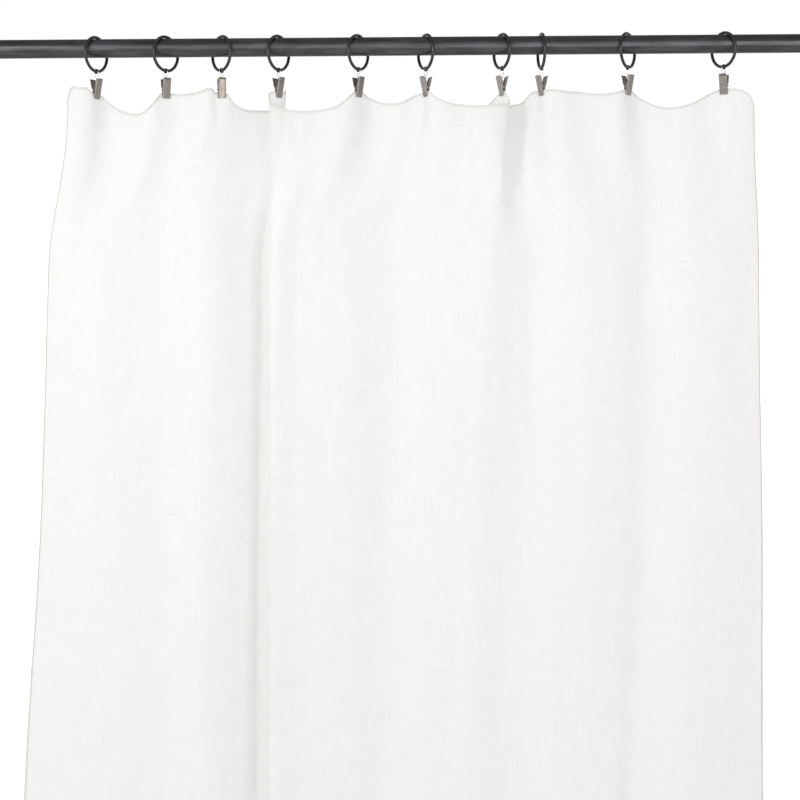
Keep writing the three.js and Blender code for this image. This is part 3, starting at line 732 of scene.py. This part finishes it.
def sheer_linen():
    material, shader, add, links = node_finish("sheer_linen", (0.87, 0.865, 0.85), 0.9, 0.0)
    shader.inputs["Specular IOR Level"].default_value = 0.15
    flat = add("ShaderNodeAttribute", attribute_name="flat_place").outputs["Vector"]
    math_node = lambda operation, first, second: add("ShaderNodeMath", {0: first, 1: second},
                                                     operation=operation).outputs["Value"]
    # Slubs: long uneven thick places in both threads, more of them down the cloth than across it.
    down_slubs = stretched_noise(add, flat, (1150, 19, 1), 1.0, 6.0).outputs["Fac"]
    cross_slubs = stretched_noise(add, flat, (31, 1050, 1), 1.0, 6.0).outputs["Fac"]
    cloudy = stretched_noise(add, flat, (37, 29, 1), 1.0, 5.0).outputs["Fac"]
    slubs = math_node("ADD", math_node("MULTIPLY", down_slubs, 0.56), math_node("MULTIPLY", cross_slubs, 0.44))
    # Threads about 0.7 mm apart, each wandering a little, with small gaps between them.
    wander = add("ShaderNodeTexNoise", {"Vector": flat, "Scale": 160.0, "Detail": 2.0}).outputs["Color"]
    moved = add("ShaderNodeVectorMath", {0: wander, "Scale": 0.0011}, operation="SCALE").outputs["Vector"]
    moved = add("ShaderNodeVectorMath", {0: flat, 1: moved}, operation="ADD").outputs["Vector"]
    pitch = add("ShaderNodeVectorMath", {0: moved, "Scale": math.pi / 0.0007}, operation="SCALE").outputs["Vector"]
    turn = add("ShaderNodeSeparateXYZ", {"Vector": pitch})
    threads = [math_node("ABSOLUTE", math_node("SINE", turn.outputs[axis], 0.0), 0.0) for axis in ("X", "Y")]
    height = math_node("MAXIMUM", *threads)
    yarn = color_between(add, slubs, 0.38, 0.62, (0.885, 0.882, 0.868), (0.93, 0.929, 0.918))
    tint = color_between(add, cloudy, 0.3, 0.7, (0.985, 0.984, 0.98), (1.0, 1.0, 1.0))
    mixed = add("ShaderNodeMix", data_type="RGBA", blend_type="MULTIPLY")
    mixed.inputs["Factor"].default_value = 1.0
    links.new(yarn, mixed.inputs["A"])
    links.new(tint, mixed.inputs["B"])
    links.new(mixed.outputs["Result"], shader.inputs["Base Color"])
    thick = add("ShaderNodeBump", {"Height": slubs, "Strength": 0.4, "Distance": 0.0004})
    bump = add("ShaderNodeBump", {"Height": height, "Strength": 0.3, "Distance": 0.0001,
                                  "Normal": thick.outputs["Normal"]})
    links.new(bump.outputs["Normal"], shader.inputs["Normal"])
    through = add("ShaderNodeBsdfTranslucent", {"Color": mixed.outputs["Result"], "Normal": bump.outputs["Normal"]})
    body = add("ShaderNodeMixShader", {"Fac": 0.42, 1: shader.outputs["BSDF"], 2: through.outputs["BSDF"]})
    open_weave = add("ShaderNodeBsdfTransparent")
    between = add("ShaderNodeMapRange", {"Value": height, "From Min": 0.55, "From Max": 0.8, "To Min": 0.4,
                                         "To Max": 0.04}).outputs["Result"]
    thin_places = add("ShaderNodeMapRange", {"Value": slubs, "From Min": 0.38, "From Max": 0.62,
                                             "To Min": 1.25, "To Max": 0.75}).outputs["Result"]
    cloth_shader = add("ShaderNodeMixShader", {"Fac": math_node("MULTIPLY", between, thin_places),
                                               1: body.outputs["Shader"], 2: open_weave.outputs["BSDF"]})
    output = next(node for node in material.node_tree.nodes if node.type == "OUTPUT_MATERIAL")
    links.new(cloth_shader.outputs["Shader"], output.inputs["Surface"])
    return material


linen = sheer_linen()
panel = add_piece("linen_panel", cloth.reshape(-1, 3), grid_faces(*cloth.shape[:2]), linen)
flat_place = panel.data.attributes.new("flat_place", "FLOAT_VECTOR", "POINT")
flat_place.data.foreach_set("vector", (np.stack([u, s, 0 * u], axis=-1) * mm).ravel())
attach(panel, "curtain")
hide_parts("curtain")

# ---- Overlocked edges -----------------------------------------------------------------------------------------
# The raw edges are overlocked in oatmeal thread: one thread wraps over the edge, front and back, and a needle
# thread runs along its inner side.
stitch_pitch = 4.2 * mm
stitch_width = 3.2 * mm
thread_radius = 0.27 * mm


def oatmeal_thread():
    material, shader, add, links = node_finish("oatmeal_thread", (0.75, 0.7, 0.62), 0.85, 0.0)
    place = add("ShaderNodeTexCoord").outputs["Object"]
    twist = stretched_noise(add, place, (1, 1, 1), 1400.0, 2.0)
    shade = stretched_noise(add, place, (1, 1, 1), 60.0, 2.0)
    spun = color_between(add, twist.outputs["Fac"], 0.3, 0.7, (0.52, 0.46, 0.385), (0.72, 0.66, 0.58))
    uneven = color_between(add, shade.outputs["Fac"], 0.3, 0.7, (0.82, 0.8, 0.78), (1.0, 1.0, 1.0))
    mixed = add("ShaderNodeMix", data_type="RGBA", blend_type="MULTIPLY")
    mixed.inputs["Factor"].default_value = 1.0
    links.new(spun, mixed.inputs["A"])
    links.new(uneven, mixed.inputs["B"])
    links.new(mixed.outputs["Result"], shader.inputs["Base Color"])
    fuzz = add("ShaderNodeBump", {"Height": twist.outputs["Fac"], "Strength": 0.15, "Distance": 0.0001})
    links.new(fuzz.outputs["Normal"], shader.inputs["Normal"])
    return material


def overlocked(edge, inner, count_seed):
    """Thread along an edge of the cloth: it lies nearly square to the edge in front, goes through the cloth and
    slants back to the next stitch behind. inner is the line of points one step into the cloth."""
    lengths = np.concatenate([[0], np.cumsum(np.linalg.norm(np.diff(edge, axis=0), axis=1))])
    stitches = int(lengths[-1] / stitch_pitch)
    at = lambda line, wanted: np.stack([np.interp(wanted, lengths, line[:, axis]) for axis in range(3)], axis=-1)
    inward_all = inner - edge
    inward_all /= np.linalg.norm(inward_all, axis=1)[:, None]
    run_all = np.gradient(edge, axis=0)
    out_all = np.cross(run_all, inward_all)
    out_all /= np.linalg.norm(out_all, axis=1)[:, None]
    uneven = np.random.default_rng(count_seed).uniform(-1, 1, (stitches, 2, 1))
    along = np.array([0, 0.04, 0.11, 0.18, 0.23, 0.3, 0.6, 0.92])
    deep = np.array([-0.1, 0, 0.5, 0.97, 1.05, 0.97, 0.5, 0.06]) * stitch_width
    lift = np.tile([0, 1, 1, 1, 0, -1, -1, -1], stitches) * (thread_radius + 0.1 * mm)
    places = (np.arange(stitches)[:, None] + along + 0.04 * uneven[:, 0]).clip(0, stitches).ravel()
    places *= lengths[-1] / stitches
    depth = (deep * (1 + 0.12 * uneven[:, 1])).ravel()
    base, inward, out = at(edge, places), at(inward_all, places), at(out_all, places)
    wrap = base + inward * depth[:, None] + out * lift[:, None]
    needle_places = np.linspace(0, lengths[-1], stitches * 2 + 1)
    base, inward, out = at(edge, needle_places), at(inward_all, needle_places), at(out_all, needle_places)
    dip = np.where(np.arange(len(needle_places)) % 2 == 0, 0.1 * mm, thread_radius + 0.3 * mm)
    needle = base + inward * stitch_width + out * dip[:, None]
    return joined([swept(wrap, thread_radius, sides=5), swept(needle, thread_radius * 0.4, sides=5)])


thread = oatmeal_thread()
edges = {"left": (cloth[:, 0], cloth[:, 1]), "right": (cloth[:, -1], cloth[:, -2]),
         "top": (cloth[0], cloth[1]), "bottom": (cloth[-1], cloth[-2])}
trims = []
for order, (name, (edge, inner)) in enumerate(edges.items()):
    trim = add_piece(f"{name}_edge_overlock", *overlocked(edge, inner, 50 + order), thread)
    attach(trim, "curtain")
    trims.append(trim)

# The cloth and each of its edge threads get a mesh of their own.
for piece in [panel, *trims]:
    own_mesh(piece)

# ---- Studio ---------------------------------------------------------------------------------------------------
# A pale floor just under the hem, a white surround, three soft lamps, the strongest high on the left, and a
# camera level with the middle of the panel's upper half.
floor_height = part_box("curtain")[0].z - 0.05
floor_radius = 5.4
floor_finish, floor_shader, _, _ = node_finish("pale_floor", (0.93, 0.93, 0.925), 0.7, 0.0)
floor_shader.inputs["Emission Color"].default_value = (1, 1, 1, 1)
floor_shader.inputs["Emission Strength"].default_value = 0.1
around = np.linspace(0, 2 * math.pi, 128, endpoint=False)
floor_edge = np.stack([floor_radius * np.cos(around), floor_radius * np.sin(around), 0 * around + floor_height],
                      axis=-1)
floor = add_piece("floor", floor_edge, [range(128)], floor_finish)

surround = bpy.data.worlds.new("white_surround")
bpy.context.scene.world = surround
surround.use_nodes = True
nodes, links = surround.node_tree.nodes, surround.node_tree.links
direction = nodes.new("ShaderNodeSeparateXYZ")
links.new(nodes.new("ShaderNodeTexCoord").outputs["Generated"], direction.inputs["Vector"])
# The surround is dimmer overhead, and a little brighter in front of the rod than behind it. The camera sees white.
light = None
for axis, start, end, low, high in (("Z", 0.05, 0.55, 1.0, 0.22), ("Y", -0.3, 0.5, 1.32, 1.26)):
    part = nodes.new("ShaderNodeMapRange")
    links.new(direction.outputs[axis], part.inputs["Value"])
    for key, value in (("From Min", start), ("From Max", end), ("To Min", low), ("To Max", high)):
        part.inputs[key].default_value = value
    if light is None:
        light = part
    else:
        both = nodes.new("ShaderNodeMath")
        both.operation = "MULTIPLY"
        links.new(light.outputs["Result"], both.inputs[0])
        links.new(part.outputs["Result"], both.inputs[1])
seen = nodes.new("ShaderNodeMath")
seen.operation = "MAXIMUM"
links.new(both.outputs["Value"], seen.inputs[0])
links.new(nodes.new("ShaderNodeLightPath").outputs["Is Camera Ray"], seen.inputs[1])
links.new(seen.outputs["Value"], nodes["Background"].inputs["Strength"])
nodes["Background"].inputs["Color"].default_value = (1, 1, 1, 1)


def add_lamp(name, place, aim, size, power):
    lamp = bpy.data.lights.new(name, "AREA")
    lamp.size, lamp.energy = size, power
    holder = bpy.data.objects.new(name, lamp)
    bpy.context.scene.collection.objects.link(holder)
    holder.location = place
    holder.rotation_euler = (Vector(aim) - Vector(place)).to_track_quat("-Z", "Y").to_euler()


add_lamp("key_softbox", (-1.7, -2.4, 0.5), (0, rod_centre.y, -0.6), 0.62, 32)
add_lamp("right_softbox", (1.4, -2.9, 0.4), (0, rod_centre.y, -0.3), 0.4, 8)
add_lamp("low_fill", (0.75, -2.8, -0.85), (0, rod_centre.y, -0.4), 0.4, 4)

view_width = 1.0928
camera_distance = 2.6
camera_place = (-0.0036, rod_centre.y - camera_distance, -0.483)
camera_roll = math.radians(-0.43)
camera = bpy.data.cameras.new("camera")
camera.sensor_width = 36
camera.lens = camera.sensor_width * camera_distance / view_width
camera_holder = bpy.data.objects.new("camera", camera)
bpy.context.scene.collection.objects.link(camera_holder)
camera_holder.matrix_world = (Matrix.Translation(camera_place) @ Matrix.Rotation(math.pi / 2, 4, "X")
                              @ Matrix.Rotation(camera_roll, 4, "Z"))
bpy.context.scene.camera = camera_holder
bpy.context.scene.view_settings.view_transform = "Standard"
bpy.context.scene.view_settings.look = "None"
